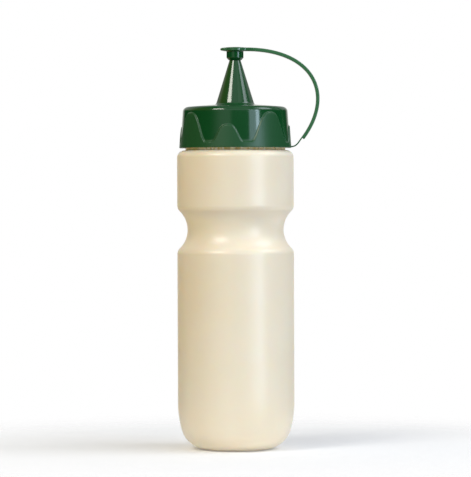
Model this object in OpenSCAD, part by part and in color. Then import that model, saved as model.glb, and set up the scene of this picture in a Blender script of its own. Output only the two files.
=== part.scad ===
// Squeeze bottle for sauce, with a screw cap, a cone nozzle and a tip cap on a strap.
// Origin on the bottle's axis, at its foot; +Z up, and the strap runs out along +X.

/* [Bottle] */
// Outer diameter of the bottle's wall
body_d = 65; // [54:0.5:80]
// Height of the shoulder's flat top
shoulder_h = 166.5; // [138:0.5:200]
// Radius of the shoulder's rounded edge
shoulder_r = 4; // [2:0.1:4.6]
// Distance from the wall's line in to the edge of the flat foot
foot_inset = 16.5; // [15.5:0.1:22]
// Radius of the base's lower curve
base_low_r = 15; // [10:0.1:16]
// Radius of the base's upper curve
base_high_r = 58; // [45:1:70]

/* [Waist] */
// Drop from the shoulder's top to the middle of the finger groove
waist_drop = 44.15; // [30:0.05:60]
// Depth of the finger groove
waist_depth = 5.7; // [2:0.1:9]
// Radius of the groove's hollow
waist_r = 14.5; // [8:0.1:20]
// Radius of the groove's two lips
waist_lip_r = 4.75; // [2:0.05:8]

/* [Neck] */
// Inset of the neck's collar from the bottle's wall
neck_inset = 4.7; // [4.6:0.1:8]
// Gap between the shoulder and the cap's rim, where the collar shows
rim_gap = 1.3; // [0.6:0.1:4]
// Height of the collar inside the cap
collar_in = 2.5; // [1:0.1:6]

/* [Cap] */
// Clearance between the neck and the inside of the cap
cap_clearance = 0.6; // [0.3:0.05:1.2]
// Wall of the cap's skirt
cap_wall = 2.2; // [1.4:0.1:3]
// Height of the skirt
skirt_h = 22.7; // [18:0.1:28]
// How much narrower the skirt's radius is at its top
cap_taper = 1.55; // [0.5:0.05:3]
// Radius of the cap's top edge
cap_edge_r = 2.8; // [1:0.1:4]
// Rise of the deck from its edge to the nozzle
deck_rise = 1.5; // [0.5:0.1:4]
// Thickness of the deck at its edge
deck_t = 1.95; // [1.2:0.05:3]

/* [Waves] */
// Thickness of the raised grip layer
wave_t = 0.65; // [0.3:0.05:1]
// Crests round the cap, tall and short by turns
wave_count = 8; // [6:2:8]
// Height of a tall crest above the rim
wave_tall_h = 19.3; // [15:0.1:21]
// Height of a short crest above the rim
wave_short_h = 12.4; // [6:0.1:16]
// Height of the layer between two crests
wave_low_h = 3; // [1:0.1:5]
// Half the angle that a tall crest spans
wave_tall_half = 22; // [12:0.5:22]
// Half the angle that a short crest spans
wave_short_half = 15.5; // [8:0.5:18]
// Most that a crest sits off even spacing, in degrees
wave_shift = 5.85; // [0:0.05:6]

/* [Nozzle] */
// Height of the cone above the deck
nozzle_h = 28.6; // [22:0.1:36]
// Radius of the cone at the deck
nozzle_base_r = 10.8; // [8:0.1:14]
// Radius of the cone at its tip
nozzle_tip_r = 1.9; // [1.5:0.05:2.4]
// Radius of the curve between the cone and the deck
nozzle_root_r = 1.6; // [0.5:0.1:3]

/* [Tip cap] */
// Clearance between the nozzle and the sleeve
tip_clearance = 0.1; // [0.05:0.01:0.3]
// Clearance above the nozzle's end
tip_end_gap = 0.2; // [0.1:0.05:0.5]
// Length of the nozzle that the sleeve covers
nozzle_cover = 3.9; // [2.5:0.1:4.6]
// Height of the sleeve below the disc
sleeve_h = 5; // [4.7:0.1:6]
// Outer radius of the sleeve
sleeve_r = 4.75; // [4.2:0.05:5.6]
// Wall of the sleeve at its lower lip
sleeve_lip = 0.35; // [0.2:0.05:0.6]
// Height of the taper above that lip
sleeve_taper_h = 1.3; // [0.5:0.1:2.5]
// Radius of the disc
disc_r = 5.8; // [5.7:0.1:8]
// Thickness of the disc at its middle
disc_t = 2.35; // [2.1:0.05:3]
// Fall of the disc's crowned top from its middle to the end of the thumb tab
disc_crown = 0.65; // [0.2:0.05:0.9]
// Reach of the thumb tab from the axis
tab_reach = 8.2; // [8.1:0.1:11]
// Width of the thumb tab
tab_w = 7; // [5:0.1:9]

/* [Strap] */
// Width of the strap
strap_w = 5; // [3.5:0.1:6.5]
// Thickness of the strap
strap_t = 2; // [1.4:0.05:2.2]
// Thickness of the hinge between the strap and the cap
hinge_t = 0.75; // [0.4:0.05:1.2]
// Run of the hinge out from the rim
hinge_run = 5.5; // [4:0.1:8]
// Rise of the hinge to the strap's lower end
hinge_rise = 4.8; // [3:0.1:7]
// Height of the hinge's underside above the rim
hinge_lift = 0.3; // [0.1:0.05:1]
// Lean of the strap's lower end from upright
strap_lean = 36.8; // [25:0.1:45]
// Reach of the curve's pull at the disc
strap_pull_top = 36.9; // [30:0.1:44]
// Reach of the curve's pull at the strap's lower end
strap_pull_low = 30.1; // [25:0.1:36]
// Radius of the web between the strap and the disc
web_r = 2.5; // [1:0.1:4]

/* [Hidden] */
$fn = 96;
OVER = 1;
SINK = 0.4; // how far a crest's ends go down into the layer between crests
ARC_STEP = 6;

cream = [0.93, 0.87, 0.74];
green = [0.10, 0.33, 0.18];

body_r = body_d / 2;
foot_r = body_r - foot_inset;
collar_r = body_r - neck_inset;
neck_r = collar_r - cap_taper;
waist_z = shoulder_h - waist_drop;
rim_z = shoulder_h + rim_gap;
rim_r = collar_r + cap_clearance + cap_wall;
edge_z = rim_z + skirt_h;
edge_r = rim_r - cap_taper;
ceiling_z = edge_z - deck_t;
deck_z = edge_z + deck_rise;
nozzle_top_z = deck_z + nozzle_h;
lip_z = nozzle_top_z - nozzle_cover;
disc_z = lip_z + sleeve_h;

// Angle where the base's two curves meet, and the height where the upper one meets the wall
base_join = acos((base_high_r - foot_inset) / (base_high_r - base_low_r));
base_z = base_low_r + (base_high_r - base_low_r) * sin(base_join);

// Angle that the groove's hollow and each lip turn through, and half the groove's height
waist_turn = acos((waist_r + waist_lip_r - waist_depth) / (waist_r + waist_lip_r));
waist_half = (waist_r + waist_lip_r) * sin(waist_turn);

// Half the web's height where it leaves the disc, and the reach of the web from the axis
web_y = (strap_w / 2 + web_r) * disc_r / (disc_r + web_r);
web_x = sqrt(pow(disc_r + web_r, 2) - pow(strap_w / 2 + web_r, 2));

// Points of an arc about a centre, from one angle to another
function arc(centre, r, from, to) =
    let (steps = ceil(abs(to - from) / ARC_STEP))
    [for (i = [0 : steps]) let (a = from + (to - from) * i / steps) centre + r * [cos(a), sin(a)]];

// Points of an arc of radius r that rounds the corner b between a and c
function corner(a, b, c, r) =
    let (
        u = (a - b) / norm(a - b),
        v = (c - b) / norm(c - b),
        half = acos(u * v) / 2,
        middle = (u + v) / norm(u + v),
        centre = b + middle * r / sin(half),
        start = b + u * r / tan(half) - centre,
        end = b + v * r / tan(half) - centre,
        from = atan2(start[1], start[0]),
        turn = (180 - 2 * half) * sign(cross(start, end))
    )
    arc(centre, r, from, from + turn);

// Point and unit direction of a cubic curve at t, from 0 to 1
function bezier(p, t) =
    pow(1 - t, 3) * p[0] + 3 * pow(1 - t, 2) * t * p[1] + 3 * (1 - t) * t * t * p[2] + pow(t, 3) * p[3];
function bezier_way(p, t) =
    let (d = pow(1 - t, 2) * (p[1] - p[0]) + 2 * (1 - t) * t * (p[2] - p[1]) + t * t * (p[3] - p[2]))
    d / norm(d);

// Points at a distance to the left of a cubic curve
function beside(p, distance, steps) =
    [for (i = [0 : steps])
        let (t = i / steps, w = bezier_way(p, t))
        bezier(p, t) + distance * [-w[1], w[0]]];

function backwards(list) = [for (i = [len(list) - 1 : -1 : 0]) list[i]];

// Radius of the skirt's smooth wall and of the nozzle at a height
function skirt_at(z) = rim_r - cap_taper * (z - rim_z) / skirt_h;
function nozzle_at(z) = nozzle_base_r - (nozzle_base_r - nozzle_tip_r) * (z - deck_z) / nozzle_h;

// Outline of the bottle, from its foot up to the neck's lip
bottle_outline = concat(
    [[0, 0]],
    arc([foot_r, base_low_r], base_low_r, -90, -base_join),
    arc([body_r - base_high_r, base_z], base_high_r, -base_join, 0),
    arc([body_r - waist_lip_r, waist_z - waist_half], waist_lip_r, 0, waist_turn),
    arc([body_r - waist_depth + waist_r, waist_z], waist_r, 180 + waist_turn, 180 - waist_turn),
    arc([body_r - waist_lip_r, waist_z + waist_half], waist_lip_r, -waist_turn, 0),
    arc([body_r - shoulder_r, shoulder_h - shoulder_r], shoulder_r, 0, 90),
    [
        [collar_r, shoulder_h],
        [collar_r, rim_z + collar_in],
        [neck_r, rim_z + collar_in],
        [neck_r, ceiling_z],
        [0, ceiling_z]
    ]
);

// Outline of the cap's outside, from its rim over the deck to the nozzle's end
rim_point = [rim_r, rim_z];
edge_point = [edge_r, edge_z];
root_point = [nozzle_base_r, deck_z];
tip_point = [nozzle_tip_r, nozzle_top_z];
cap_outline = concat(
    [[0, rim_z], rim_point],
    corner(rim_point, edge_point, root_point, cap_edge_r),
    corner(edge_point, root_point, tip_point, nozzle_root_r),
    [tip_point, [0, nozzle_top_z]]
);

// Crests stand at even steps, shifted a little so that they lie closer together at the back
function crest_at(k) =
    let (even = wave_first + 360 / wave_count * k)
    even + wave_shift * sin(even - wave_front);
wave_first = -6;
wave_front = 16;

// Cubic curves of the strap's inner side, from the disc to its lower end, and on along the hinge to the rim
hinge_end = [rim_r + wave_t, rim_z + hinge_lift + hinge_t];
strap_end = hinge_end + [hinge_run, hinge_rise];
strap_way = [-sin(strap_lean), -cos(strap_lean)];
strap_root = [disc_r, disc_z];
strap_curve = [
    strap_root,
    strap_root + [strap_pull_top, 0],
    strap_end - strap_pull_low * strap_way,
    strap_end
];
hinge_curve = [
    strap_end,
    strap_end + hinge_run / 2 * strap_way,
    hinge_end + [hinge_run / 2, 0],
    hinge_end
];
strap_steps = 40;
hinge_steps = 8;
strap_outline = concat(
    [[0, disc_z], [0, disc_z + strap_t]],
    beside(strap_curve, strap_t, strap_steps),
    beside(hinge_curve, hinge_t, hinge_steps),
    [hinge_end + [-cap_wall / 2, -hinge_t], hinge_end + [-cap_wall / 2, 0]],
    backwards(beside(hinge_curve, 0, hinge_steps)),
    backwards(beside(strap_curve, 0, strap_steps))
);

// The bottle, solid because its opaque wall hides what it holds
module bottle() {
    color(cream) rotate_extrude() polygon(bottle_outline);
}

// One crest of the grip layer, as a prism that runs out through the skirt's wall
module crest(at, height, half) {
    steps = 8;
    inside_r = rim_r - cap_taper - cap_wall - OVER;
    outline = [for (i = [-steps : steps])
        [rim_r * tan(half * i / steps),
         wave_low_h + (height - wave_low_h) * pow(cos(90 * pow(abs(i) / steps, 1.5)), 1.8) - (abs(i) == steps ? SINK : 0)]];
    rotate([0, 0, at])
    translate([0, -inside_r, rim_z])
    rotate([90, 0, 0])
    linear_extrude(rim_r + wave_t + OVER - inside_r)
    polygon(concat([[outline[0][0], OVER]], outline, [[outline[2 * steps][0], OVER]]));
}

// Cone of the skirt, thickened by the grip layer
module grip_cone(height) {
    rotate_extrude()
    polygon([
        [0, rim_z],
        [rim_r + wave_t, rim_z],
        [skirt_at(rim_z + height) + wave_t, rim_z + height],
        [0, rim_z + height]
    ]);
}

// The wavy grip layer, with all its crests cut from one cone
module waves() {
    intersection() {
        grip_cone(wave_tall_h + OVER);
        union() {
            translate([0, 0, rim_z - OVER]) cylinder(h = wave_low_h + OVER, r = rim_r + wave_t + OVER);
            for (k = [0 : wave_count - 1])
                if (k % 2 == 0) crest(crest_at(k), wave_short_h, wave_short_half);
                else crest(crest_at(k), wave_tall_h, wave_tall_half);
        }
    }
}

// The screw cap, hollow over the neck, with its nozzle
module cap() {
    color(green)
    difference() {
        union() {
            rotate_extrude() polygon(cap_outline);
            waves();
        }
        rotate_extrude()
        polygon([
            [0, rim_z - OVER],
            [skirt_at(rim_z - OVER) - cap_wall, rim_z - OVER],
            [skirt_at(ceiling_z) - cap_wall, ceiling_z],
            [0, ceiling_z]
        ]);
    }
}

// Outline of the disc from above, with its thumb tab and the webs at the strap's root
module disc_plan() {
    circle(disc_r);
    translate([-(tab_reach - tab_w / 2), 0]) circle(tab_w / 2);
    translate([-(tab_reach - tab_w / 2), -tab_w / 2]) square([tab_reach - tab_w / 2, tab_w]);
    difference() {
        translate([0, -web_y]) square([web_x, 2 * web_y]);
        for (side = [-1, 1]) translate([web_x, side * (strap_w / 2 + web_r)]) circle(web_r);
    }
}

// The crowned disc
module disc() {
    crown_steps = 8;
    intersection() {
        translate([0, 0, disc_z]) linear_extrude(disc_t) disc_plan();
        rotate_extrude()
        polygon(concat(
            [[0, disc_z], [disc_r, disc_z], [tab_reach + OVER, disc_z + disc_crown]],
            [for (i = [crown_steps : -1 : 0])
                let (r = (tab_reach + OVER) * i / crown_steps)
                [r, disc_z + disc_t - disc_crown * pow(r / tab_reach, 2)]]
        ));
    }
}

// The sleeve round the nozzle's end
module sleeve() {
    lip_r = nozzle_at(lip_z) + tip_clearance + sleeve_lip;
    rotate_extrude()
    polygon([
        [0, lip_z],
        [lip_r, lip_z],
        [sleeve_r, lip_z + sleeve_taper_h],
        [sleeve_r, disc_z],
        [0, disc_z]
    ]);
}

// Space in the sleeve for the nozzle
module sleeve_bore() {
    rotate_extrude()
    polygon([
        [0, lip_z - OVER],
        [nozzle_at(lip_z - OVER) + tip_clearance, lip_z - OVER],
        [nozzle_tip_r + tip_clearance, nozzle_top_z + tip_end_gap],
        [0, nozzle_top_z + tip_end_gap]
    ]);
}

// The tip cap with its strap, whose hinge ends face to face with the cap's rim
module tip_cap() {
    color(green)
    difference() {
        union() {
            sleeve();
            disc();
            rotate([90, 0, 0]) linear_extrude(strap_w, center = true) polygon(strap_outline);
        }
        sleeve_bore();
        grip_cone(wave_low_h);
    }
}

bottle();
cap();
tip_cap();
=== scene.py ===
# %% [markdown]
# # A squeeze bottle for sauce
#
# The real thing is three plastic parts. The cream bottle is blown inside a mould, the green screw cap with its cone
# nozzle is injected, and a small tip cap closes the nozzle and hangs on a strap that is moulded with the cap.
# The construction model gives every size and place, so this lesson starts by loading it as a fixed frame. Each visible
# piece is then made again with softer edges, finer curves and a finish, on exactly the same axis.

import math

import bmesh
import bpy
import numpy as np
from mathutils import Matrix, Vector


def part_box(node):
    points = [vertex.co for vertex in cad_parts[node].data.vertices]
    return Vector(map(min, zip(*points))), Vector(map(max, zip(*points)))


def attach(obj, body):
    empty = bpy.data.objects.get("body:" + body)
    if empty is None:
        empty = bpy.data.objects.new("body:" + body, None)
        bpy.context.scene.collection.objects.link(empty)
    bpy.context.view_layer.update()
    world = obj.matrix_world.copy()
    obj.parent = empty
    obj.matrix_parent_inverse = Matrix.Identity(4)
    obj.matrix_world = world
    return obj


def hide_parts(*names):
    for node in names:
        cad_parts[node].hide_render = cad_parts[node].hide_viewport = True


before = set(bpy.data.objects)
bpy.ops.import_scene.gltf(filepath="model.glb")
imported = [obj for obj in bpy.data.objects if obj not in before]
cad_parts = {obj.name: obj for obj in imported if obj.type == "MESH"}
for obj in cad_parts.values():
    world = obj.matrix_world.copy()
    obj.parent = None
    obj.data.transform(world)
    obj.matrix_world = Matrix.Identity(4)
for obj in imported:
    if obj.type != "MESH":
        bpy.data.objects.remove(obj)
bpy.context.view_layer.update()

# %% [markdown]
# The outlines below are easier to read in millimetres, so sizes are kept in millimetres and turned into metres only
# when a mesh is made. Heights and radii that the frame holds are read from its boxes. The smaller ones, such as the
# radius of a curve, repeat the construction's values.

# %% Sizes that the frame gives
MM = 0.001


def box_mm(node):
    """Lowest and highest corner of a frame node, in millimetres."""
    low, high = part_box(node)
    return low / MM, high / MM


bottle_low, bottle_high = box_mm("bottle")
cap_low, cap_high = box_mm("cap")
tip_low, tip_high = box_mm("tip_cap")

BODY_R = bottle_high.x
CEILING_Z = bottle_high.z
RIM_Z = cap_low.z
GRIP_R = cap_high.x
NOZZLE_TOP_Z = cap_high.z
TAB_REACH = -tip_low.x
DISC_TOP_Z = tip_high.z
print(f"wall radius {BODY_R:.2f}, rim at {RIM_Z:.2f}, nozzle up to {NOZZLE_TOP_Z:.2f}, disc up to {DISC_TOP_Z:.2f} mm")

# %% [markdown]
# Two of the parts are turned shapes. A turned shape is drawn once as half an outline, from the axis out and back to the
# axis, and then swept round. Blender has Spin and the Screw modifier for this. Here a few lines of numpy do it, because
# each ring of points can then carry a number that a later step or the finish reads.
# Straight stretches get one extra row close to each end, so that smooth shading doesn't smear a curve over a flat.

# %% Outline helpers
def arc(centre, radius, start, end, step=4.0):
    """Points of an arc about a centre, with angles in degrees."""
    count = max(2, math.ceil(abs(end - start) / step))
    angles = np.radians(np.linspace(start, end, count + 1))
    return [(centre[0] + radius * math.cos(a), centre[1] + radius * math.sin(a)) for a in angles]


def straight(a, b, rows=1, near=0.25):
    """Points between two corners, both left out, with a row close to each of them."""
    a, b = np.array(a, float), np.array(b, float)
    length = np.linalg.norm(b - a)
    close = min(near / length, 0.3)
    shares = [close, *np.linspace(close, 1 - close, rows + 2)[1:-1], 1 - close]
    return [tuple(a + (b - a) * share) for share in shares]


def corner(a, b, c, radius, step=6.0):
    """Points of an arc that rounds the corner b on the way from a to c."""
    a, b, c = (np.array(p, float) for p in (a, b, c))
    u = (a - b) / np.linalg.norm(a - b)
    v = (c - b) / np.linalg.norm(c - b)
    half = math.acos(float(np.clip(u @ v, -1, 1))) / 2
    centre = b + (u + v) / np.linalg.norm(u + v) * radius / math.sin(half)
    start = b + u * radius / math.tan(half) - centre
    end = b + v * radius / math.tan(half) - centre
    side = 1 if start[0] * end[1] - start[1] * end[0] > 0 else -1
    first = math.degrees(math.atan2(start[1], start[0]))
    return arc(centre, radius, first, first + side * (180 - 2 * math.degrees(half)), step)


# %% A lathe
def lathe(name, outline, segments):
    """A closed turned mesh from an outline in millimetres that starts and ends on the axis. Faces point outwards."""
    points = np.array(outline, float) * MM
    rings = points[1:-1]
    turn = 2 * np.pi * np.arange(segments) / segments
    grid = np.stack(
        [
            rings[:, :1] * np.sin(turn),
            -rings[:, :1] * np.cos(turn),
            np.repeat(rings[:, 1:], segments, axis=1),
        ],
        axis=2,
    )
    corners = np.vstack([grid.reshape(-1, 3), [(0, 0, points[0, 1])], [(0, 0, points[-1, 1])]])
    number = np.arange(len(rings) * segments).reshape(len(rings), segments)
    after = np.roll(number, -1, axis=1)
    walls = np.stack([number[:-1], after[:-1], after[1:], number[1:]], axis=2).reshape(-1, 4)
    foot, top = len(corners) - 2, len(corners) - 1
    fans = [(foot, b, a) for a, b in zip(number[0], after[0])]
    fans += [(top, a, b) for a, b in zip(number[-1], after[-1])]
    mesh = bpy.data.meshes.new(name)
    mesh.from_pydata(corners.tolist(), [], walls.tolist() + [tuple(map(int, f)) for f in fans])
    mesh.shade_smooth()
    return mesh


def number_rings(mesh, name, values, segments):
    """One number for each ring of a turned mesh, as a named attribute. The two points on the axis get the end ones."""
    rows = np.repeat(np.array(values[1:-1], np.float32), segments)
    attribute = mesh.attributes.new(name, "FLOAT", "POINT")
    attribute.data.foreach_set("value", np.concatenate([rows, [values[0], values[-1]]]).astype(np.float32))


def as_object(mesh):
    """A new object for a mesh, in the scene, at the origin."""
    thing = bpy.data.objects.new(mesh.name, mesh)
    bpy.context.scene.collection.objects.link(thing)
    return thing


def measure(thing):
    """Prints a mesh's size and whether it is closed."""
    work = bmesh.new()
    work.from_mesh(thing.data)
    open_edges = sum(1 for edge in work.edges if not edge.is_manifold)
    volume = work.calc_volume(signed=True) / MM**3
    triangles = sum(len(face.verts) - 2 for face in work.faces)
    work.free()
    low = np.min([v.co for v in thing.data.vertices], axis=0) / MM
    high = np.max([v.co for v in thing.data.vertices], axis=0) / MM
    print(f"{thing.name}: {triangles} triangles, {open_edges} open edges, {volume:.0f} mm3")
    print("  from", np.round(low, 2), "to", np.round(high, 2), "mm")


# %% [markdown]
# ## The bottle
#
# A blown bottle has no sharp edge anywhere, because the soft plastic can't be pressed into one. Its foot curls under in
# two arcs that flow into each other, and the finger groove is a hollow between two rounded lips. The construction
# draws it so, and the lathe here follows the same arcs in finer steps. A subdivided cylinder would be quicker, but its
# groove would drift from the real radii.

# %% Sizes of the bottle
BOTTLE_SEGMENTS = 288
FOOT_INSET = 16.5
FOOT_R = BODY_R - FOOT_INSET
BASE_LOW_R, BASE_HIGH_R = 15.0, 58.0
base_join = math.degrees(math.acos((BASE_HIGH_R - FOOT_INSET) / (BASE_HIGH_R - BASE_LOW_R)))
BASE_Z = BASE_LOW_R + (BASE_HIGH_R - BASE_LOW_R) * math.sin(math.radians(base_join))

CAP_GAP = 1.3
SHOULDER_Z = RIM_Z - CAP_GAP
SHOULDER_R = 4.0
WAIST_DROP = 44.15
WAIST_Z = SHOULDER_Z - WAIST_DROP
WAIST_R, WAIST_DEPTH, LIP_R = 14.5, 5.7, 4.75
waist_turn = math.degrees(math.acos((WAIST_R + LIP_R - WAIST_DEPTH) / (WAIST_R + LIP_R)))
WAIST_HALF = (WAIST_R + LIP_R) * math.sin(math.radians(waist_turn))

NECK_INSET, COLLAR_IN = 4.7, 2.5
TAPER = 1.55
COLLAR_R, COLLAR_Z = BODY_R - NECK_INSET, RIM_Z + COLLAR_IN
NECK_R = COLLAR_R - TAPER
COLLAR_FILLET, COLLAR_EDGE, NECK_EDGE = 0.3, 0.2, 0.3
print(f"shoulder at {SHOULDER_Z:.1f}, waist middle at {WAIST_Z:.1f} mm, {BODY_R - WAIST_DEPTH:.1f} mm from the axis")

# %% Outline of the bottle
waist_low, waist_high = WAIST_Z - WAIST_HALF, WAIST_Z + WAIST_HALF
lower_wall = (BODY_R, BASE_Z), (BODY_R, waist_low)
upper_wall = (BODY_R, waist_high), (BODY_R, SHOULDER_Z - SHOULDER_R)
collar_top = [(COLLAR_R, COLLAR_Z), (NECK_R, COLLAR_Z)]
collar_corners = [(BODY_R - SHOULDER_R, SHOULDER_Z), (COLLAR_R, SHOULDER_Z), *collar_top]
neck_corners = [*collar_top, (NECK_R, CEILING_Z), (0, CEILING_Z)]

bottle_outline = [(0, 0), (FOOT_R * 0.5, 0), (FOOT_R - 0.6, 0)]
bottle_outline += arc((FOOT_R, BASE_LOW_R), BASE_LOW_R, -90, -base_join, 2.5)
bottle_outline += arc((BODY_R - BASE_HIGH_R, BASE_Z), BASE_HIGH_R, -base_join, 0, 1.3)[1:]
bottle_outline += straight(*lower_wall, rows=7, near=1.5)
bottle_outline += arc((BODY_R - LIP_R, waist_low), LIP_R, 0, waist_turn, 3.5)
waist_centre = (BODY_R - WAIST_DEPTH + WAIST_R, WAIST_Z)
bottle_outline += arc(waist_centre, WAIST_R, 180 + waist_turn, 180 - waist_turn, 2.5)[1:]
bottle_outline += arc((BODY_R - LIP_R, waist_high), LIP_R, -waist_turn, 0, 3.5)[1:]
bottle_outline += straight(*upper_wall, rows=3, near=1.5)
bottle_outline += arc((BODY_R - SHOULDER_R, SHOULDER_Z - SHOULDER_R), SHOULDER_R, 0, 90, 5)
bottle_outline += corner(*collar_corners[:3], COLLAR_FILLET, 22)
bottle_outline += straight(*collar_corners[1:3])
bottle_outline += corner(*collar_corners[1:], COLLAR_EDGE, 30)
bottle_outline += corner(*neck_corners[:3], COLLAR_EDGE, 30)
bottle_outline += straight(*neck_corners[1:3], rows=2)
bottle_outline += corner(*neck_corners[1:], NECK_EDGE, 30)
bottle_outline += [(NECK_R - 1.5, CEILING_Z), (0, CEILING_Z)]
print(len(bottle_outline), "rows in the bottle's outline")

# %% Turn the bottle
bottle = as_object(lathe("bottle_body", bottle_outline, BOTTLE_SEGMENTS))
measure(bottle)

# %% [markdown]
# ## Node trees in a few words
#
# Geometry Nodes and shader nodes both hold their arithmetic in Math nodes. One small class wraps a node's output and
# turns +, -, * and / into those nodes, so that a rule reads as a line of Python. Any other node comes from one method,
# which sets the node's own settings first and then its inputs.

# %% A wrapper for sockets and a wrapper for trees
class Field:
    """A node's output that takes part in arithmetic. Each operator adds one Math node."""

    def __init__(self, tree, socket):
        self.tree, self.socket = tree, socket

    def maths(self, operation, *others):
        return self.tree.add("ShaderNodeMath", {"operation": operation}, dict(enumerate((self, *others))))[0]

    def __add__(self, other):
        return self.maths("ADD", other)

    __radd__ = __add__

    def __mul__(self, other):
        return self.maths("MULTIPLY", other)

    __rmul__ = __mul__

    def __sub__(self, other):
        return self.maths("SUBTRACT", other)

    def __rsub__(self, other):
        return (self * -1) + other

    def __truediv__(self, other):
        return self.maths("DIVIDE", other)

    def __pow__(self, other):
        return self.maths("POWER", other)

    def __abs__(self):
        return self.maths("ABSOLUTE")

    def least(self, other):
        return self.maths("MINIMUM", other)

    def most(self, other):
        return self.maths("MAXIMUM", other)

    def between(self, low, high):
        """0 below low, 1 above high, and a smooth step from one to the other."""
        settings = {"interpolation_type": "SMOOTHSTEP"}
        inputs = {"Value": self, "From Min": low, "From Max": high}
        return self.tree.add("ShaderNodeMapRange", settings, inputs)[0]


class Tree:
    """A node tree under construction."""

    def __init__(self, tree):
        self.tree = tree

    def add(self, kind, settings=None, inputs=None):
        """Adds a node, sets its settings, then its inputs, and gives back its outputs by number or name."""
        node = self.tree.nodes.new(kind)
        for name, value in (settings or {}).items():
            setattr(node, name, value)
        for name, value in (inputs or {}).items():
            self.join(value, node.inputs[name])
        return Outputs(self, node)

    def join(self, value, socket):
        if isinstance(value, Outputs):
            value = value[0]
        if isinstance(value, Field):
            self.tree.links.new(value.socket, socket)
        else:
            socket.default_value = value


class Outputs:
    """The outputs of one node."""

    def __init__(self, tree, node):
        self.tree, self.node = tree, node

    def __getitem__(self, key):
        if isinstance(key, int):
            shown = [socket for socket in self.node.outputs if socket.enabled]
            return Field(self.tree, shown[key])
        return Field(self.tree, self.node.outputs[key])


# %% Geometry tree helpers
def geometry_tree(name, inputs):
    """A new Geometry Nodes tree with named inputs. Gives the tree, its inputs by name, and its group output node."""
    group = bpy.data.node_groups.new(name, "GeometryNodeTree")
    group.is_modifier = True
    group.interface.new_socket("Geometry", in_out="INPUT", socket_type="NodeSocketGeometry")
    for label, kind, value in inputs:
        socket = group.interface.new_socket(label, in_out="INPUT", socket_type="NodeSocket" + kind)
        if value is not None:
            socket.default_value = value
    group.interface.new_socket("Geometry", in_out="OUTPUT", socket_type="NodeSocketGeometry")
    tree = Tree(group)
    given = tree.add("NodeGroupInput")
    result = tree.add("NodeGroupOutput", {"is_active_output": True})
    return tree, given, result.node


def run_tree(thing, tree, values):
    """Runs a Geometry Nodes tree on an object with these input values, and leaves a plain mesh."""
    modifier = thing.modifiers.new("nodes", "NODES")
    modifier.node_group = tree.tree
    for item in tree.tree.interface.items_tree:
        if item.in_out == "INPUT" and item.name in values:
            modifier[item.identifier] = values[item.name]
    settle(thing)


def settle(thing):
    """Puts an object's evaluated mesh in its place and removes its modifiers."""
    bpy.context.view_layer.update()
    graph = bpy.context.evaluated_depsgraph_get()
    mesh = bpy.data.meshes.new_from_object(thing.evaluated_get(graph), preserve_all_data_layers=True, depsgraph=graph)
    mesh.name = thing.name
    thing.modifiers.clear()
    thing.data = mesh


# %% [markdown]
# ## Finishes
#
# A material is more than a colour. The bottle is soft polyethylene over pale sauce: light goes in a little way and
# comes out again, so it needs subsurface scattering and a satin surface. The cap is hard polypropylene with a
# polished mould, except on the raised wavy grip, where the mould is finely blasted and the plastic comes out satin.
# All patterns read Object coordinates, in metres, so a scale of 1000 gives spots of a millimetre. Only what changes
# over the surface comes from nodes. A number that is the same all over is set on the shader's own socket.

# %% A tree for a material
def finish(name):
    """A new material with a Principled BSDF. Gives the material, its tree and the shader node."""
    material = bpy.data.materials.new(name)
    material.use_nodes = True
    material.node_tree.nodes.clear()
    tree = Tree(material.node_tree)
    shader = tree.add("ShaderNodeBsdfPrincipled")
    tree.add("ShaderNodeOutputMaterial", None, {"Surface": shader})
    return material, tree, shader.node


def noise(tree, where, scale, detail=2.0):
    """A noise pattern between about 0.3 and 0.7, read at Object coordinates."""
    inputs = {"Vector": where, "Scale": scale, "Detail": detail}
    return tree.add("ShaderNodeTexNoise", {"noise_dimensions": "3D"}, inputs)[0]


def tinted(tree, share, low, high):
    """A colour between two others. Each is three numbers or a socket."""
    low, high = (colour if isinstance(colour, Field) else (*colour, 1) for colour in (low, high))
    mix = tree.add("ShaderNodeMix", {"data_type": "RGBA"}, {"Factor": share, 6: low, 7: high})
    return Field(tree, mix.node.outputs[2])


def relief_on(tree, shader, height):
    """Bends the shader's normal as if the surface rose by height, in millimetres."""
    bump = tree.add("ShaderNodeBump", None, {"Strength": 1.0, "Distance": MM, "Height": height})
    tree.join(bump, shader.inputs["Normal"])


# %% [markdown]
# The cream plastic is nearly even: slow clouds change its colour and its gloss a little, and a fine peel and the line
# where the mould's halves met bend its surface by hundredths of a millimetre. Under the cap's rim a narrow band of the
# neck's collar shows. On the real bottle some of the light that has gone into the cream plastic comes out there, so it
# stays warm where the cap's shadow alone would leave it black. A faint emission in that band is painted glow for that
# light.

# %% Cream plastic
CREAM, CREAM_DEEP = (0.855, 0.75, 0.575), (0.84, 0.725, 0.54)
COLLAR_GLOW, NO_GLOW = (0.13, 0.095, 0.022), (0, 0, 0)
SEAM_INNER, SEAM_OUTER = 0.12 * MM, 0.42 * MM

cream_plastic, tree, shader = finish("cream_plastic")
where = tree.add("ShaderNodeTexCoord")["Object"]
side = tree.add("ShaderNodeSeparateXYZ", None, {0: where})
clouds = noise(tree, where, 22.0)
peel = noise(tree, where, 900.0)
seam = 1 - abs(side["Y"]).between(SEAM_INNER, SEAM_OUTER)
above_shoulder = side["Z"].between((SHOULDER_Z - 0.05) * MM, (SHOULDER_Z + 0.5) * MM)
in_cap = side["Z"].between((RIM_Z + 0.7) * MM, (RIM_Z + 1.7) * MM)
band = above_shoulder * (1 - in_cap)

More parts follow.
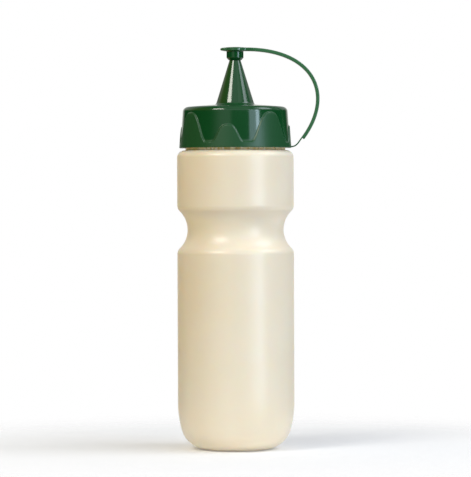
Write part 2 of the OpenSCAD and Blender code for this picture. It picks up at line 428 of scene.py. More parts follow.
tree.join(tinted(tree, clouds.between(0.35, 0.65), CREAM, CREAM_DEEP), shader.inputs["Base Color"])
tree.join(0.33 + clouds * 0.06, shader.inputs["Roughness"])
relief_on(tree, shader, peel * (1 - band) * 0.012 + seam * 0.06)
# Painted glow: a faint warm emission on the collar's band under the cap's rim.
tree.join(tinted(tree, band, NO_GLOW, COLLAR_GLOW), shader.inputs["Emission Color"])
shader.inputs["Emission Strength"].default_value = 1.0
shader.inputs["Subsurface Weight"].default_value = 0.3
shader.inputs["Subsurface Radius"].default_value = (1.0, 0.6, 0.3)
shader.inputs["Subsurface Scale"].default_value = 0.004
shader.inputs["Specular IOR Level"].default_value = 0.65
shader.inputs["IOR"].default_value = 1.5
print("cream_plastic:", len(tree.tree.nodes), "nodes")

# %% [markdown]
# The green plastic is one deep colour with three looks. Most of it is polished. The raised grip is satin, so its
# roughness and a fine blasted grain follow the attribute "grip". The strap and the top of its disc get a paler green,
# which is painted light: it stands for the light that falls on them from above, and an attribute marks where it goes.
# An attribute is a good way to tell such places apart, because it sits on the mesh's points and moves with them.

# %% Green plastic
# The third green is painted light: the paler green on the strap and the disc's top stands for light from above.
GREEN, GREEN_GRIP, GREEN_PAINTED_LIGHT = (0.004, 0.057, 0.013), (0.005, 0.066, 0.016), (0.045, 0.145, 0.062)

green_plastic, tree, shader = finish("green_plastic")
where = tree.add("ShaderNodeTexCoord")["Object"]
on_grip = tree.add("ShaderNodeAttribute", {"attribute_name": "grip"})["Fac"]
on_painted_light = tree.add("ShaderNodeAttribute", {"attribute_name": "thin"})["Fac"]
flow = noise(tree, where, 60.0)
grain = noise(tree, where, 3800.0)
ripple = noise(tree, where, 260.0, 1.0)
thick_green = tinted(tree, on_grip, GREEN, GREEN_GRIP)
tree.join(tinted(tree, on_painted_light, thick_green, GREEN_PAINTED_LIGHT), shader.inputs["Base Color"])
tree.join(0.10 + flow * 0.05 + on_grip * 0.26, shader.inputs["Roughness"])
relief_on(tree, shader, grain * on_grip * 0.010 + ripple * 0.004)
shader.inputs["IOR"].default_value = 1.5
print("green_plastic:", len(tree.tree.nodes), "nodes")

# %% [markdown]
# ## The screw cap
#
# The skirt leans in a little so that it can leave its mould. Round it runs a raised grip layer whose edge is a wave:
# tall and short crests by turns, a little closer together at the back. A Boolean could cut such a layer, but its edge
# would run across the faces. The wave follows a rule, so it suits Geometry Nodes. The lathe makes a smooth skirt whose
# rings carry a number called "way". The tree finds the wave's height at each angle, then moves the rings: way 0 to 1
# climbs the raised layer, 1 to 2 crosses its rounded edge, and 2 to 3 goes on up the polished wall. The rows then run
# along the edge, which keeps it crisp.

# %% Sizes of the cap
CAP_SEGMENTS = 512
GRIP_LAYER = 0.65
RIM_R = GRIP_R - GRIP_LAYER
SKIRT_H, DECK_RISE = 22.7, 1.5
EDGE_Z = RIM_Z + SKIRT_H
EDGE_R = RIM_R - TAPER
DECK_Z = EDGE_Z + DECK_RISE
NOZZLE_BASE_R, NOZZLE_TIP_R = 10.8, 1.9
WALL = 2.2
RIM_ROUND, EDGE_ROUND, ROOT_ROUND, TIP_ROUND, CEILING_ROUND = 0.3, 2.8, 1.6, 0.3, 0.4


def skirt_at(z):
    """Radius of the smooth skirt at a height."""
    return RIM_R - TAPER * (z - RIM_Z) / SKIRT_H


def nozzle_at(z):
    """Radius of the cone nozzle at a height."""
    return NOZZLE_BASE_R - (NOZZLE_BASE_R - NOZZLE_TIP_R) * (z - DECK_Z) / (NOZZLE_TOP_Z - DECK_Z)


print(f"skirt {RIM_R:.2f} mm at the rim and {EDGE_R:.2f} mm at the top edge; deck at {DECK_Z:.1f} mm")

# %% Outline of the cap
inside_low = (skirt_at(RIM_Z) - WALL, RIM_Z)
inside_top = (skirt_at(CEILING_Z) - WALL, CEILING_Z)
rim = (GRIP_R, RIM_Z)
edge, root = (EDGE_R, EDGE_Z), (NOZZLE_BASE_R, DECK_Z)
tip, tip_middle = (NOZZLE_TIP_R, NOZZLE_TOP_Z), (0, NOZZLE_TOP_Z)
edge_round = corner((RIM_R, RIM_Z), edge, root, EDGE_ROUND, 4.5)
root_round = corner(edge, root, tip, ROOT_ROUND)
wall_top_z = edge_round[0][1]

inner = [(0, CEILING_Z), (inside_top[0] - 1.5, CEILING_Z)]
inner += corner((0, CEILING_Z), inside_top, inside_low, CEILING_ROUND, 30)
inner += straight(inside_top, inside_low, rows=4)
inner += corner(inside_top, inside_low, rim, RIM_ROUND, 30)
rim_round = corner(inside_low, rim, (GRIP_R - 0.04, RIM_Z + 1), RIM_ROUND, 15)
CLIMB_ROWS, CROSS_ROWS, ONWARD_ROWS = 18, 10, 16
ways = [
    *np.linspace(0, 1, CLIMB_ROWS + 1)[1:],
    *np.linspace(1, 2, CROSS_ROWS + 1)[1:],
    *np.linspace(2, 3, ONWARD_ROWS + 1)[1:],
]
wall = [(skirt_at(z), z) for z in np.interp(ways, [0, 3], [RIM_Z + RIM_ROUND, wall_top_z])]
above = edge_round[1:] + straight(edge_round[-1], root_round[0], rows=4, near=0.5) + root_round
above += straight(root_round[-1], tip, rows=10, near=0.5)
above += corner(root, tip, tip_middle, TIP_ROUND, 20) + [tip_middle]
cap_outline = inner + rim_round + wall + above
cap_ways = [-1.0] * (len(inner) + len(rim_round)) + ways + [-1.0] * len(above)
cap_grip = [0.0] * len(inner) + [1.0] * len(rim_round) + [0.0] * (len(ways) + len(above))
print(f"{len(cap_outline)} rows on the cap, {len(ways)} of them follow the wave; its wall ends at {wall_top_z:.2f} mm")

# %% Turn the smooth cap
cap = as_object(lathe("screw_cap", cap_outline, CAP_SEGMENTS))
number_rings(cap.data, "way", cap_ways, CAP_SEGMENTS)
number_rings(cap.data, "grip", cap_grip, CAP_SEGMENTS)

# %% [markdown]
# The wave's height at an angle is the greatest of what its crests give there. A Repeat zone goes round the crests one
# by one and keeps the greatest. It does so at three angles at once, a hair to the left, at the point, and a hair to the
# right, because the difference tells how steep the edge runs, and a steep edge needs more height for the same bevel.
# A crest is half a swing of a cosine. One power widens its round top and the other narrows its foot.

# %% The rule of the wave
wave_inputs = [
    ("Crests", "Int", 8),
    ("First crest", "Float", -6.0),
    ("Even spacing kept at", "Float", 16.0),
    ("Shift", "Float", 5.85),
    ("Tall height", "Float", 19.3),
    ("Short height", "Float", 12.4),
    ("Low height", "Float", 3.0),
    ("Tall half angle", "Float", 24.0),
    ("Short half angle", "Float", 16.0),
    ("Crest flatness", "Float", 1.5),
    ("Crest sharpness", "Float", 1.8),
    ("Layer thickness", "Float", GRIP_LAYER),
    ("Bevel", "Float", 0.9),
    ("Rim height", "Float", RIM_Z),
    ("Rim radius", "Float", RIM_R),
    ("Lean", "Float", TAPER / SKIRT_H),
    ("Rim rounding", "Float", RIM_ROUND),
    ("Wall top", "Float", wall_top_z - RIM_Z),
    ("Finish", "Material", None),
]
waves, given, result = geometry_tree("grip_waves", wave_inputs)
HAIR = 0.35
HEIGHTS = ["wave_before", "wave_here", "wave_after"]


def stored(tree, name):
    """A number that the mesh carries under this name."""
    return tree.add("GeometryNodeInputNamedAttribute", {"data_type": "FLOAT"}, {"Name": name})[0]


def store(tree, geometry, name, value, selection=True):
    """Writes a number on the points under this name, and gives the geometry on."""
    settings = {"data_type": "FLOAT", "domain": "POINT"}
    inputs = {"Geometry": geometry, "Selection": selection, "Name": name, "Value": value}
    return tree.add("GeometryNodeStoreNamedAttribute", settings, inputs)[0]


print("the wave rule has", len(wave_inputs), "inputs")

# %% Round the crests
place = waves.add("GeometryNodeInputPosition")
spot = waves.add("ShaderNodeSeparateXYZ", None, {0: place})
around = spot["X"].maths("ARCTAN2", spot["Y"] * -1).maths("DEGREES")

ready = given["Geometry"]
for name in HEIGHTS:
    ready = store(waves, ready, name, given["Low height"])

start = waves.add("GeometryNodeRepeatInput")
stop = waves.add("GeometryNodeRepeatOutput")
start.node.pair_with_output(stop.node)
waves.join(given["Crests"], start.node.inputs["Iterations"])
waves.join(ready, start.node.inputs["Geometry"])

crest = start["Iteration"]
even = given["First crest"] + crest * (given["Crests"] ** -1.0 * 360)
centre = even + given["Shift"] * (even - given["Even spacing kept at"]).maths("RADIANS").maths("SINE")
tall = crest.maths("MODULO", 2.0)
top = given["Short height"] + tall * (given["Tall height"] - given["Short height"])
half = given["Short half angle"] + tall * (given["Tall half angle"] - given["Short half angle"])

inside = start["Geometry"]
for name, hair in zip(HEIGHTS, (-HAIR, 0.0, HAIR)):
    away = abs((around + hair - centre).maths("WRAP", 180.0, -180.0)) / half
    swing = (away.least(1.0) ** given["Crest flatness"] * 90).maths("RADIANS")
    rise = swing.maths("COSINE").most(0.0) ** given["Crest sharpness"]
    height = given["Low height"] + rise * (top - given["Low height"])
    inside = store(waves, inside, name, stored(waves, name).most(height))
waves.join(inside, stop.node.inputs["Geometry"])

# %% Move the rings on to the wave
way = stored(waves, "way")
here = stored(waves, "wave_here")
slope = (stored(waves, "wave_after") - stored(waves, "wave_before")) / (given["Rim radius"] * math.radians(2 * HAIR))
bevel = given["Bevel"] * 0.5 * (slope * slope + 1).maths("SQRT")

climb, cross, onward = way.least(1.0), (way - 1).most(0.0).least(1.0), (way - 2).most(0.0)
low_z, top_z = given["Rim rounding"], given["Wall top"]
edge_low, edge_high = here - bevel, here + bevel
height = low_z + climb * (edge_low - low_z) + cross * (edge_high - edge_low) + onward * (top_z - edge_high)
raised = 1 - cross.between(0.0, 1.0)
radius = given["Rim radius"] - height * given["Lean"] + raised * given["Layer thickness"]

flat_way = waves.add("ShaderNodeCombineXYZ", None, {0: spot["X"], 1: spot["Y"]})
outward = waves.add("ShaderNodeVectorMath", {"operation": "NORMALIZE"}, {0: flat_way})
spread = waves.add("ShaderNodeVectorMath", {"operation": "SCALE"}, {0: outward, "Scale": radius * MM})
lift = waves.add("ShaderNodeCombineXYZ", None, {2: (height + given["Rim height"]) * MM})
moved = waves.add("ShaderNodeVectorMath", {"operation": "ADD"}, {0: spread, 1: lift})
on_wall = way.maths("GREATER_THAN", 0.0)
kept_grip = store(waves, stop["Geometry"], "grip", 1 - onward.between(0.0, 0.04), on_wall)
shaped = waves.add("GeometryNodeSetPosition", None, {"Geometry": kept_grip, "Selection": on_wall, "Position": moved})

# %% Finish the wave tree and run it
for name in HEIGHTS + ["way"]:
    shaped = waves.add("GeometryNodeRemoveAttribute", None, {"Geometry": shaped, "Name": name})
whole = waves.add("GeometryNodeRealizeInstances", None, {"Geometry": shaped})
painted = waves.add("GeometryNodeSetMaterial", None, {"Geometry": whole, "Material": given["Finish"]})
waves.join(painted, result.inputs["Geometry"])
run_tree(cap, waves, {"Finish": green_plastic})
measure(cap)

# %% [markdown]
# ## The tip cap and its strap
#
# On the real cap this strap leaves the mould straight, and it is bent over on to the nozzle afterwards. The model
# takes the same way. First comes a straight bar: thumb tab, round disc, strap, and a thin hinge at its end. Each
# station along it is a closed ring of points, and its edges are rounded by how far a point lies from the outline.
# Then a Geometry Nodes tree bends the bar along a Bezier curve.

# %% Sizes of the tip cap
NOZZLE_COVER, SLEEVE_H, SLEEVE_R = 3.9, 5.0, 4.75
LIP_Z = NOZZLE_TOP_Z - NOZZLE_COVER
DISC_Z = LIP_Z + SLEEVE_H
DISC_T = DISC_TOP_Z - DISC_Z
DISC_R, DISC_CROWN = 5.8, 0.65
TAB_HALF, TAB_FILLET = 3.5, 0.5
STRAP_HALF, STRAP_T = 2.5, 2.0
WEB_R = 2.5
WEB_X = math.sqrt((DISC_R + WEB_R) ** 2 - (STRAP_HALF + WEB_R) ** 2)
WEB_START = WEB_X * DISC_R / (DISC_R + WEB_R)

# %% Sizes of the strap's curve
HINGE_T, HINGE_LIFT, HINGE_PULL = 0.75, 0.3, 2.75
STRAP_LEAN = math.radians(36.8)
STRAP_PULL_OUT, STRAP_PULL_UP = 36.9, 30.1
STRAP_END_OUT, STRAP_END_UP = 5.5, 4.8
hinge_end = np.array([GRIP_R, RIM_Z + HINGE_LIFT + HINGE_T])
strap_end = hinge_end + [STRAP_END_OUT, STRAP_END_UP]
strap_root = np.array([DISC_R, DISC_Z])
strap_way = np.array([-math.sin(STRAP_LEAN), -math.cos(STRAP_LEAN)])
strap_curve = [strap_root, strap_root + [STRAP_PULL_OUT, 0], strap_end - STRAP_PULL_UP * strap_way, strap_end]
hinge_curve = [strap_end, strap_end + HINGE_PULL * strap_way, hinge_end + [HINGE_PULL, 0], hinge_end]


def curve_length(points, steps=4000):
    """Length of a Bezier curve of four points, measured in short steps."""
    t = np.linspace(0, 1, steps)[:, None]
    a, b, c, d = (np.array(p) for p in points)
    track = (1 - t) ** 3 * a + 3 * (1 - t) ** 2 * t * b + 3 * (1 - t) * t * t * c + t**3 * d
    return float(np.linalg.norm(np.diff(track, axis=0), axis=1).sum())


STRAP_LENGTH, HINGE_LENGTH = curve_length(strap_curve), curve_length(hinge_curve)
STRAP_STOP = DISC_R + STRAP_LENGTH
print(f"strap {STRAP_LENGTH:.1f} mm long, hinge {HINGE_LENGTH:.1f} mm")

# %% Width of the bar
def smooth_most(a, b, soft):
    """The greater of two numbers, with a fillet where they cross."""
    near = max(soft - abs(a - b), 0) / soft
    return max(a, b) + near * near * soft / 4


def half_width(x):
    """Half the width of the straight bar at a distance along it, measured from the nozzle's axis."""
    if x >= WEB_X:
        return STRAP_HALF
    if x >= WEB_START:
        return STRAP_HALF + WEB_R - math.sqrt(WEB_R**2 - (x - WEB_X) ** 2)
    disc = math.sqrt(max(DISC_R**2 - x * x, 0))
    if x > 0:
        return disc
    along = max(-(x + TAB_REACH - TAB_HALF), 0)
    tab = math.sqrt(max(TAB_HALF**2 - along**2, 0))
    return smooth_most(tab, disc, TAB_FILLET) if x > -DISC_R else tab


print("half width of disc, web and strap:", [round(half_width(x), 2) for x in (0, WEB_START, WEB_X)])

# %% Stations along the bar
ROUND, HINGE_ROUND = 0.5, 0.2
STATION_STEP, STRAP_STATIONS, HINGE_STATIONS = 0.25, 84, 19
INTO_RIM = 0.5
tab_stations = TAB_HALF - TAB_REACH - TAB_HALF * np.cos(np.radians(np.linspace(0, 75, 16)))
disc_stations = np.arange(tab_stations[-1] + STATION_STEP, WEB_X, STATION_STEP)
strap_stations = np.linspace(WEB_X, STRAP_STOP - ROUND - 0.1, STRAP_STATIONS)
stop_stations = STRAP_STOP - ROUND * (1 - np.sin(np.radians(np.linspace(0, 90, 7))))
hinge_stations = np.linspace(STRAP_STOP, STRAP_STOP + HINGE_LENGTH, HINGE_STATIONS)
inside_station = [STRAP_STOP + HINGE_LENGTH + INTO_RIM]
stations = np.concatenate([tab_stations, disc_stations, strap_stations, stop_stations, hinge_stations, inside_station])
on_hinge = np.arange(len(stations)) >= len(stations) - len(hinge_stations) - 1
widths = np.array([half_width(x) for x in stations])
print(len(stations), "stations along", round(float(stations[-1] - stations[0]), 1), "mm")

# %% Rings of the bar
PLAN_STEP, PLAN_BEYOND = 0.05, 9
BLEND_FROM, BLEND_OVER = 5.0, 2.5
NARROW = 1.2
margins = ROUND * (1 - np.cos(np.radians(np.linspace(0, 90, 8))))
plan_x = np.concatenate([tab_stations, np.arange(tab_stations[-1], STRAP_STOP + PLAN_BEYOND, PLAN_STEP)])
plan = np.array([(x, half_width(x)) for x in plan_x])


def to_outline(points):
    """Distance in plan from points to the bar's outline."""
    a, b = plan[:-1], plan[1:]
    step = b - a
    share = ((points[:, None] - a) * step).sum(2) / np.maximum((step * step).sum(1), 1e-12)
    foot = a + np.clip(share, 0, 1)[..., None] * step
    return np.linalg.norm(points[:, None] - foot, axis=2).min(1)


def rounded(distance, radius):
    """How far a surface has to stay back near an edge of this radius."""
    inside = np.clip(distance, 0, radius)
    return radius - np.sqrt(np.maximum(radius**2 - (radius - inside) ** 2, 0))


def ring_at(x, half, hinge):
    """The closed ring of points round the bar at one station: over its top, then back under it."""
    sides = half - margins * min(1.0, half / NARROW)
    across = np.concatenate([-sides, np.linspace(-1, 1, 15)[1:-1] * sides[-1], sides[::-1]])
    inwards = to_outline(np.column_stack([np.full_like(across, x), np.abs(across)]))
    inwards[0] = inwards[-1] = 0.0
    reach = np.hypot(x, across)
    crown = DISC_T - DISC_CROWN * (reach / TAB_REACH) ** 2
    blend = float(np.clip((x - BLEND_FROM) / BLEND_OVER, 0, 1))
    blend = blend * blend * (3 - 2 * blend)
    if hinge:
        top = HINGE_T - rounded(inwards, HINGE_ROUND)
        bottom = rounded(inwards, HINGE_ROUND)
    else:
        top = crown * (1 - blend) + STRAP_T * blend - rounded(np.minimum(inwards, STRAP_STOP - x), ROUND)
        under_tab = np.maximum(reach - DISC_R, 0) * DISC_CROWN / (TAB_REACH + 1 - DISC_R) * (x < 0)
        bottom = under_tab + rounded(inwards, ROUND)
    over = np.column_stack([np.full_like(across, x), across, top])
    back = np.column_stack([np.full_like(across, x), across, bottom])[::-1]
    return np.vstack([over, back])


rings = np.array([ring_at(*station) for station in zip(stations, widths, on_hinge)])
print(len(rings), "rings of", rings.shape[1], "points")

# %% Skin the rings
def skin(name, rings):
    """A closed mesh over a row of rings, with both ends shut."""
    stations, around = rings.shape[:2]
    number = np.arange(stations * around).reshape(stations, around)
    after = np.roll(number, -1, axis=1)
    walls = np.stack([number[:-1], after[:-1], after[1:], number[1:]], axis=2).reshape(-1, 4)
    half = around // 2
    ends = []
    for row, flip in ((number[0], False), (number[-1], True)):
        for i in range(half - 1):
            quad = [row[i], row[i + 1], row[around - 2 - i], row[around - 1 - i]]
            ends.append(quad[::-1] if flip else quad)
    work = bmesh.new()
    points = [work.verts.new(p) for p in (rings.reshape(-1, 3) * MM).tolist()]
    for face in walls.tolist() + ends:
        work.faces.new([points[i] for i in face])
    bmesh.ops.remove_doubles(work, verts=work.verts, dist=1e-8)
    bmesh.ops.dissolve_degenerate(work, edges=work.edges, dist=1e-8)
    bmesh.ops.recalc_face_normals(work, faces=work.faces)
    mesh = bpy.data.meshes.new(name)
    work.to_mesh(mesh)
    work.free()
    mesh.shade_smooth()
    return mesh


tip_cap = as_object(skin("tip_cap_and_strap", rings))
measure(tip_cap)

# %% [markdown]
# The path is a Bezier curve of three points: where the strap leaves the disc, where the thick strap ends, and where the
# hinge meets the cap's rim. Its handles come from the construction. The tree samples the curve at each point's distance
# along the bar and sets the point off to the side by its height. What is longer than the curve goes straight on.

# %% The path
def path_object(name, points):
    """A Bezier curve in the XZ plane. Each point is (place, handle before, handle after), in millimetres."""
    data = bpy.data.curves.new(name, "CURVE")
    data.dimensions = "3D"
    data.resolution_u = 64
    spline = data.splines.new("BEZIER")
    spline.bezier_points.add(len(points) - 1)
    for knot, places in zip(spline.bezier_points, points):
        knot.handle_left_type = knot.handle_right_type = "FREE"
        flat = [Vector((p[0], 0, p[1])) * MM for p in places]
        knot.co, knot.handle_left, knot.handle_right = flat
    thing = bpy.data.objects.new(name, data)
    bpy.context.scene.collection.objects.link(thing)
    return thing


path = path_object(
    "strap_path",
    [
        (strap_root, strap_root - [5, 0], strap_curve[1]),
        (strap_end, strap_curve[2], hinge_curve[1]),
        (hinge_end, hinge_curve[2], hinge_end - [2, 0]),
    ],
)

# %% Bend the bar along the path
bend_inputs = [
    ("Path", "Object", None),
    ("Bend from", "Float", DISC_R),
    ("Base height", "Float", DISC_Z),
    ("Finish", "Material", None),
]
bend, given, result = geometry_tree("bend_strap", bend_inputs)
curve = bend.add("GeometryNodeObjectInfo", {"transform_space": "ORIGINAL"}, {"Object": given["Path"]})["Geometry"]
length = bend.add("GeometryNodeCurveLength", None, {"Curve": curve})[0]
spot = bend.add("ShaderNodeSeparateXYZ", None, {0: bend.add("GeometryNodeInputPosition")})
along = (spot["X"] - given["Bend from"] * MM).most(0.0)
sample = bend.add("GeometryNodeSampleCurve", {"mode": "LENGTH"}, {"Curves": curve, "Length": along})
beyond = (along - length).most(0.0)
onward = bend.add("ShaderNodeVectorMath", {"operation": "SCALE"}, {0: sample["Tangent"], "Scale": beyond})
sideways = bend.add("ShaderNodeVectorMath", {"operation": "CROSS_PRODUCT"}, {0: sample["Tangent"], 1: (0, 1, 0)})
offset = bend.add("ShaderNodeVectorMath", {"operation": "SCALE"}, {0: sideways, "Scale": spot["Z"]})
across = bend.add("ShaderNodeCombineXYZ", None, {1: spot["Y"]})
bent = sample["Position"]
for extra in (onward, offset, across):
    bent = bend.add("ShaderNodeVectorMath", {"operation": "ADD"}, {0: bent, 1: extra})
is_strap = along.maths("GREATER_THAN", 0.0)
lifted = bend.add("ShaderNodeCombineXYZ", None, {0: spot["X"], 1: spot["Y"], 2: spot["Z"] + given["Base height"] * MM})
choice = {"Switch": is_strap, "False": lifted, "True": bent}
goal = bend.add("GeometryNodeSwitch", {"input_type": "VECTOR"}, choice)
moved = bend.add("GeometryNodeSetPosition", None, {"Geometry": given["Geometry"], "Position": goal})
whole = bend.add("GeometryNodeRealizeInstances", None, {"Geometry": moved})
painted = bend.add("GeometryNodeSetMaterial", None, {"Geometry": whole, "Material": given["Finish"]})
bend.join(painted, result.inputs["Geometry"])
run_tree(tip_cap, bend, {"Path": path, "Finish": green_plastic})
bpy.data.objects.remove(path)
measure(tip_cap)

# %% [markdown]
# Under the disc stands the sleeve, a short tube that presses on to the nozzle. It is turned with its bore, its tapered
# lip and a small fillet where it meets the disc, and a Boolean union makes it one piece with the bar.

# %% The sleeve
SLEEVE_SEGMENTS = 96
TIP_CLEARANCE, BORE_SPARE = 0.1, 0.2
LIP_FACE, LIP_H, FILLET = 0.35, 1.3, 0.4
IN_DISC, HAIRLINE = 0.6, 0.02
lip_inside = nozzle_at(LIP_Z) + TIP_CLEARANCE
bore_top = NOZZLE_TOP_Z + BORE_SPARE
lip, belt, under_disc = (lip_inside + LIP_FACE, LIP_Z), (SLEEVE_R, LIP_Z + LIP_H), (SLEEVE_R, DISC_Z)
flare_r, flare_z = SLEEVE_R + FILLET + HAIRLINE, DISC_Z + HAIRLINE

sleeve_outline = [(0, bore_top), (NOZZLE_TIP_R + TIP_CLEARANCE, bore_top), (lip_inside, LIP_Z)]
sleeve_outline += corner((lip_inside, LIP_Z), lip, belt, 0.12, 20) + straight(lip, belt, near=0.3)
sleeve_outline += corner(lip, belt, under_disc, 0.5, 8)
sleeve_outline += straight((SLEEVE_R, belt[1] + 0.4), (SLEEVE_R, DISC_Z - FILLET), near=0.3)
sleeve_outline += [(SLEEVE_R + FILLET - r, z) for r, z in arc((0, DISC_Z - FILLET), FILLET, 0, 90, 15)][:-1]
sleeve_outline += [(flare_r, flare_z), (flare_r, DISC_Z + IN_DISC), (0, DISC_Z + IN_DISC)]
sleeve = as_object(lathe("sleeve", sleeve_outline, SLEEVE_SEGMENTS))
measure(sleeve)

# %% Join the sleeve
union = tip_cap.modifiers.new("sleeve", "BOOLEAN")
union.operation, union.solver, union.object = "UNION", "EXACT", sleeve
settle(tip_cap)
bpy.data.objects.remove(sleeve)
tip_cap.data.shade_smooth()
measure(tip_cap)

# %% [markdown]
# The finish has to know where light is painted. The strap is painted paler over its first few millimetres, and the
# disc's top a little paler too, as light from above would leave them. The union made new points, so the numbers are
# written on the joined mesh.

# %% Mark where light is painted
PALER_OVER = 6
DISC_SHARE, DISC_FROM = 0.6, 0.4
spots = np.empty(len(tip_cap.data.vertices) * 3)
tip_cap.data.vertices.foreach_get("co", spots)
spots = spots.reshape(-1, 3) / MM
# Painted light from above: paler along the strap's first millimetres, and on the disc's top.
painted_light_share = np.clip((spots[:, 0] - DISC_R) / PALER_OVER, 0, 1)
painted_light_share = np.maximum(painted_light_share, DISC_SHARE * (spots[:, 2] > DISC_Z + DISC_FROM))
thin = tip_cap.data.attributes.new("thin", "FLOAT", "POINT")
thin.data.foreach_set("value", painted_light_share.astype(np.float32))
print(f"{(painted_light_share > 0).sum()} of {len(painted_light_share)} points are marked thin")

# %% [markdown]
# ## Put each piece in the frame
#
# Each visible piece stands for the construction's part of the same shape. That part is hidden but stays in the frame,
# where the motion model uses it.

# %% Ride and replace
bottle.data.materials.append(cream_plastic)
for piece, node, slot in ((bottle, "bottle", "bottle"), (cap, "cap", "cap"), (tip_cap, "tip_cap", "cap")):
    if slot == "cap":
        piece.data.materials.clear()
        piece.data.materials.append(green_plastic)
    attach(piece, "root")
    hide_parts(node)
    print(piece.name, "stands for", node)

# %% [markdown]
# ## Studio
#
# Glossy plastic shows what stands round it, so the room matters as much as the lights. The floor is plain and pale. It
# catches a soft shadow and glows a little by itself, so the shadow stays light. Its alpha falls off with the distance
# from the bottle, so it melts into the white behind it and no horizon shows. A backdrop bent like a sheet of paper
# would do the same, but its bend would show from other sides.

# %% Floor
FLOOR_SEGMENTS, FLOOR_RADII = 96, (0.15, 0.5, 1.2)
FADE_FROM, FADE_TO = 0.04, 0.27
FLOOR_GREY, FLOOR_GLOW = 0.86, 0.12

turn = np.linspace(0, 2 * np.pi, FLOOR_SEGMENTS + 1)[:-1]
floor_points = [(r * math.cos(a), r * math.sin(a), 0.0) for r in FLOOR_RADII for a in turn]
floor_faces = [tuple(range(FLOOR_SEGMENTS))]
for ring in range(len(FLOOR_RADII) - 1):
    inner_row, outer_row = ring * FLOOR_SEGMENTS, (ring + 1) * FLOOR_SEGMENTS
    for i in range(FLOOR_SEGMENTS):
        j = (i + 1) % FLOOR_SEGMENTS
        floor_faces.append((inner_row + i, outer_row + i, outer_row + j, inner_row + j))
floor_mesh = bpy.data.meshes.new("floor")
floor_mesh.from_pydata(floor_points, [], floor_faces)
floor = as_object(floor_mesh)
print("floor of", len(floor_faces), "faces")

# %% Floor paint
floor_paint, tree, shader = finish("pale_floor")
where = tree.add("ShaderNodeTexCoord")["Object"]
far = tree.add("ShaderNodeVectorMath", {"operation": "LENGTH"}, {0: where})["Value"]
tree.join(1 - far.between(FADE_FROM, FADE_TO), shader.inputs["Alpha"])
shader.inputs["Base Color"].default_value = (FLOOR_GREY, FLOOR_GREY, FLOOR_GREY, 1)
shader.inputs["Roughness"].default_value = 0.85
shader.inputs["Specular IOR Level"].default_value = 0.1
shader.inputs["Emission Color"].default_value = (1, 1, 1, 1)
shader.inputs["Emission Strength"].default_value = FLOOR_GLOW
floor.data.materials.append(floor_paint)
print("the floor fades out between", FADE_FROM, "and", FADE_TO, "m")

# %% [markdown]
# The camera sees plain white all round. Reflections and soft light see another room: it is nearly dark, with a wide
# lobe of light in each of a few directions. A lobe is a smooth step on the direction of a ray, so no image is needed.
# Most lobes are kept above or below level, because upright plastic mirrors what is level with it, and a bright horizon
# would lay a haze over the deep green. The left lobe is warm and comes mostly from below, the right one is cool. That
# gives the bottle its deeper side and its paler side. The lobe behind lights the back for whoever looks from there.

# %% Surround
SURROUND = {
    "all round": (0.012, 0.015, 0.013),
    "behind": (0.62, 0.63, 0.65),
    "far behind": (0.85, 0.85, 0.80),
    "ahead": (0.90, 0.90, 1.0),
    "left": (0.76, 0.53, 0.07),
    "right": (1.05, 1.04, 1.12),
    "low panel": (0.52, 0.62, 0.54),
}
LEVEL_END, LOBE_FULL = 0.12, 0.34
WHITE = (1, 1, 1)

world = bpy.data.worlds.new("surround")
bpy.context.scene.world = world
world.use_nodes = True
world.node_tree.nodes.clear()
air = Tree(world.node_tree)
look = air.add("ShaderNodeSeparateXYZ", None, {0: air.add("ShaderNodeTexCoord")["Generated"]})
to_left, to_right, to_back, to_front = look["X"] * -1, look["X"], look["Y"], look["Y"] * -1
above_level = look["Z"].between(LEVEL_END, LOBE_FULL)
below_level = (look["Z"] * -1).between(LEVEL_END, LOBE_FULL)
level = 1 - above_level - below_level
print("directions are ready in", len(air.tree.nodes), "nodes")

# %% Lobes of light
panel = to_front.between(0.0, 0.2) * to_left.between(0.08, 0.24) * (1 - to_left.between(0.45, 0.85))
lobes = {
    "behind": to_back.between(0.1, 0.7) * (above_level * 0.8 + below_level * 0.7),
    "far behind": to_back.between(0.80, 0.98) * level,
    "ahead": to_front.between(0.3, 1.0) * (above_level + below_level * 0.4),
    "left": to_left.between(0.2, 1.0) * (above_level * 0.4 + below_level),
    "right": to_right.between(0.2, 1.0) * (above_level * 0.3 + below_level),
    "low panel": panel * level,
}
glow = air.add("ShaderNodeCombineXYZ", None, dict(enumerate(SURROUND["all round"])))
for name, share in lobes.items():
    part = air.add("ShaderNodeVectorMath", {"operation": "SCALE"}, {0: SURROUND[name], "Scale": share})
    glow = air.add("ShaderNodeVectorMath", {"operation": "ADD"}, {0: glow, 1: part})
seen = air.add("ShaderNodeLightPath")["Is Camera Ray"]
backdrop = air.add("ShaderNodeBackground", None, {"Color": tinted(air, seen, glow[0], WHITE), "Strength": 1.0})
air.add("ShaderNodeOutputWorld", None, {"Surface": backdrop})
print("surround of", len(lobes), "lobes,", len(air.tree.nodes), "nodes")

# %% [markdown]
# Six soft lights do the modelling. A tall, narrow one at the front right draws the long streak on bottle, cap and
# nozzle, and a wider one beside it softens the streak's inner side. One high at the front left makes the small
# highlights on the shoulder and on the waist's lower slope. A weak panel high at the front right marks the cap's top
# edge. The last two are wide and only fill, one from above and one from far right. An area light is used for all six,
# because its size decides how soft an edge its reflection has.

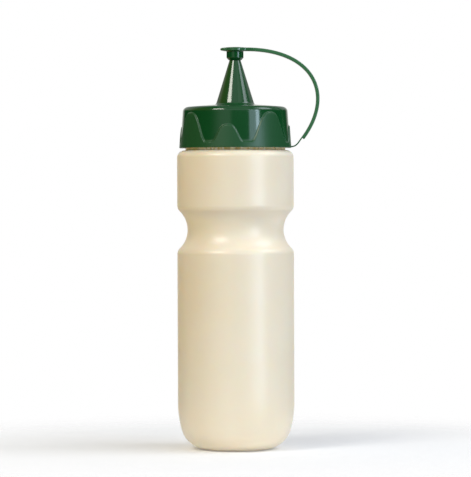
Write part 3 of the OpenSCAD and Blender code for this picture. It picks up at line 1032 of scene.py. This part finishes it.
# %% A soft light
def area(name, azimuth, elevation, distance, size, power, colour, aim):
    """A rectangular soft light, set by its direction from the object and turned to face it."""
    light = bpy.data.lights.new(name, "AREA")
    light.shape, light.size, light.size_y = "RECTANGLE", size[0], size[1]
    light.energy, light.color = power, colour
    thing = bpy.data.objects.new(name, light)
    a, e = math.radians(azimuth), math.radians(elevation)
    way = Vector((math.sin(a) * math.cos(e), -math.cos(a) * math.cos(e), math.sin(e)))
    thing.location = Vector(aim) + way * distance
    thing.rotation_euler = (-way).to_track_quat("-Z", "Y").to_euler()
    bpy.context.scene.collection.objects.link(thing)
    print(f"{name}: {power} W from azimuth {azimuth}, elevation {elevation}")


# %% Lights
AT_WAIST, AT_CAP, AT_BODY = (0, 0, 0.12), (0, 0, 0.20), (0, 0, 0.10)
area("right_soft_light", 49.5, 8, 1.3, (0.17, 0.75), 4.3, (0.67, 0.84, 1.0), AT_WAIST)
area("beside_it", 38, 8, 1.3, (0.36, 0.75), 2.8, (0.68, 0.81, 1.0), AT_WAIST)
area("left_high_light", -41, 34, 0.8, (0.30, 0.22), 3.3, (1.0, 0.98, 0.90), AT_CAP)
area("front_panel", 36, 38, 1.1, (0.42, 0.22), 0.10, (0.9, 1.0, 0.95), AT_CAP)
area("top_light", 0, 78, 1.1, (0.9, 0.7), 1.1, (0.95, 0.96, 1.0), AT_BODY)
area("right_fill", 80, 45, 1.2, (0.6, 0.6), 5.9, (0.84, 0.89, 1.0), AT_WAIST)

# %% [markdown]
# The camera stands far off at about two thirds of the bottle's height, with a long lens, so the bottle's sides look
# nearly parallel. It looks down by less than a degree and leans by a fifth of a degree. The Standard view keeps the
# white behind the bottle white, where a filmic one would turn it grey.

# %% Camera
LENS, SENSOR = 216.6, 36.0
CAMERA_SPOT = (0.0, -1.6, 0.140)
LOOK_DOWN, ROLL = 0.81, 0.2
camera_data = bpy.data.cameras.new("camera")
camera_data.lens, camera_data.sensor_width = LENS, SENSOR
camera_data.clip_start, camera_data.clip_end = 0.01, 100.0
camera = bpy.data.objects.new("camera", camera_data)
camera.location = CAMERA_SPOT
camera.rotation_euler = (math.radians(90 - LOOK_DOWN), math.radians(ROLL), 0)
bpy.context.scene.collection.objects.link(camera)
bpy.context.scene.camera = camera
bpy.context.scene.view_settings.view_transform = "Standard"
print("camera at", CAMERA_SPOT, "with a", LENS, "mm lens")
